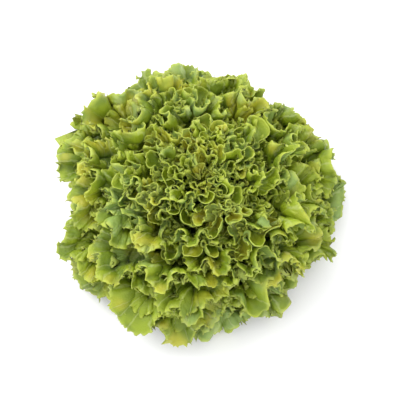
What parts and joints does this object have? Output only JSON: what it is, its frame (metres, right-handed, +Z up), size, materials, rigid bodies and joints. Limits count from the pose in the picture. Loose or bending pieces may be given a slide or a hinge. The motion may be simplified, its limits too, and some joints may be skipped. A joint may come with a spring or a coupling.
{
  "type": "curly endive head",
  "caption": "Whole head of curly endive: a cut core that carries a spiral of broad, frilled leaves, domed over a closed heart and standing on its cut base.",
  "frame": {"origin": "middle of the core's cut face, on the surface that the head stands on", "axes": "+Z up along the core, from the cut face to the heart; -Y is the front"},
  "size_m": [0.2866, 0.2927, 0.1289],
  "materials": {
    "outer_leaf": "fresh leaf, satin, frilled, darker where it folds",
    "heart_leaf": "young leaf, satin, finely frilled, yellow-green",
    "core": "cut stem, cream, matt and moist"
  },
  "bodies": {
    "root": {"core": "core", "heart_bud": "heart_leaf", "heart_leaf_01": "heart_leaf", "heart_leaf_02": "heart_leaf", "heart_leaf_03": "heart_leaf", "heart_leaf_04": "heart_leaf", "heart_leaf_05": "heart_leaf", "heart_leaf_06": "heart_leaf", "heart_leaf_07": "heart_leaf", "heart_leaf_08": "heart_leaf", "heart_leaf_09": "heart_leaf", "heart_leaf_10": "heart_leaf", "heart_leaf_11": "heart_leaf", "heart_leaf_12": "heart_leaf", "middle_leaf_01": "outer_leaf", "middle_leaf_02": "outer_leaf", "middle_leaf_03": "outer_leaf", "middle_leaf_04": "outer_leaf", "middle_leaf_05": "outer_leaf", "middle_leaf_06": "outer_leaf", "middle_leaf_07": "outer_leaf", "middle_leaf_08": "outer_leaf", "middle_leaf_09": "outer_leaf", "middle_leaf_10": "outer_leaf", "middle_leaf_11": "outer_leaf", "middle_leaf_12": "outer_leaf", "middle_leaf_13": "outer_leaf", "middle_leaf_14": "outer_leaf", "middle_leaf_15": "outer_leaf", "middle_leaf_16": "outer_leaf", "middle_leaf_17": "outer_leaf", "middle_leaf_18": "outer_leaf", "middle_leaf_19": "outer_leaf", "middle_leaf_20": "outer_leaf", "middle_leaf_21": "outer_leaf", "middle_leaf_22": "outer_leaf", "middle_leaf_23": "outer_leaf", "middle_leaf_24": "outer_leaf", "outer_leaf_01": "outer_leaf", "outer_leaf_02": "outer_leaf", "outer_leaf_03": "outer_leaf", "outer_leaf_04": "outer_leaf", "outer_leaf_05": "outer_leaf", "outer_leaf_06": "outer_leaf", "outer_leaf_07": "outer_leaf", "outer_leaf_08": "outer_leaf", "outer_leaf_09": "outer_leaf", "outer_leaf_10": "outer_leaf", "outer_leaf_11": "outer_leaf", "outer_leaf_12": "outer_leaf", "outer_leaf_13": "outer_leaf", "outer_leaf_14": "outer_leaf", "outer_leaf_15": "outer_leaf", "outer_leaf_16": "outer_leaf", "outer_leaf_17": "outer_leaf", "outer_leaf_18": "outer_leaf", "outer_leaf_19": "outer_leaf", "outer_leaf_20": "outer_leaf", "outer_leaf_21": "outer_leaf", "outer_leaf_22": "outer_leaf"}
  },
  "joints": []
}
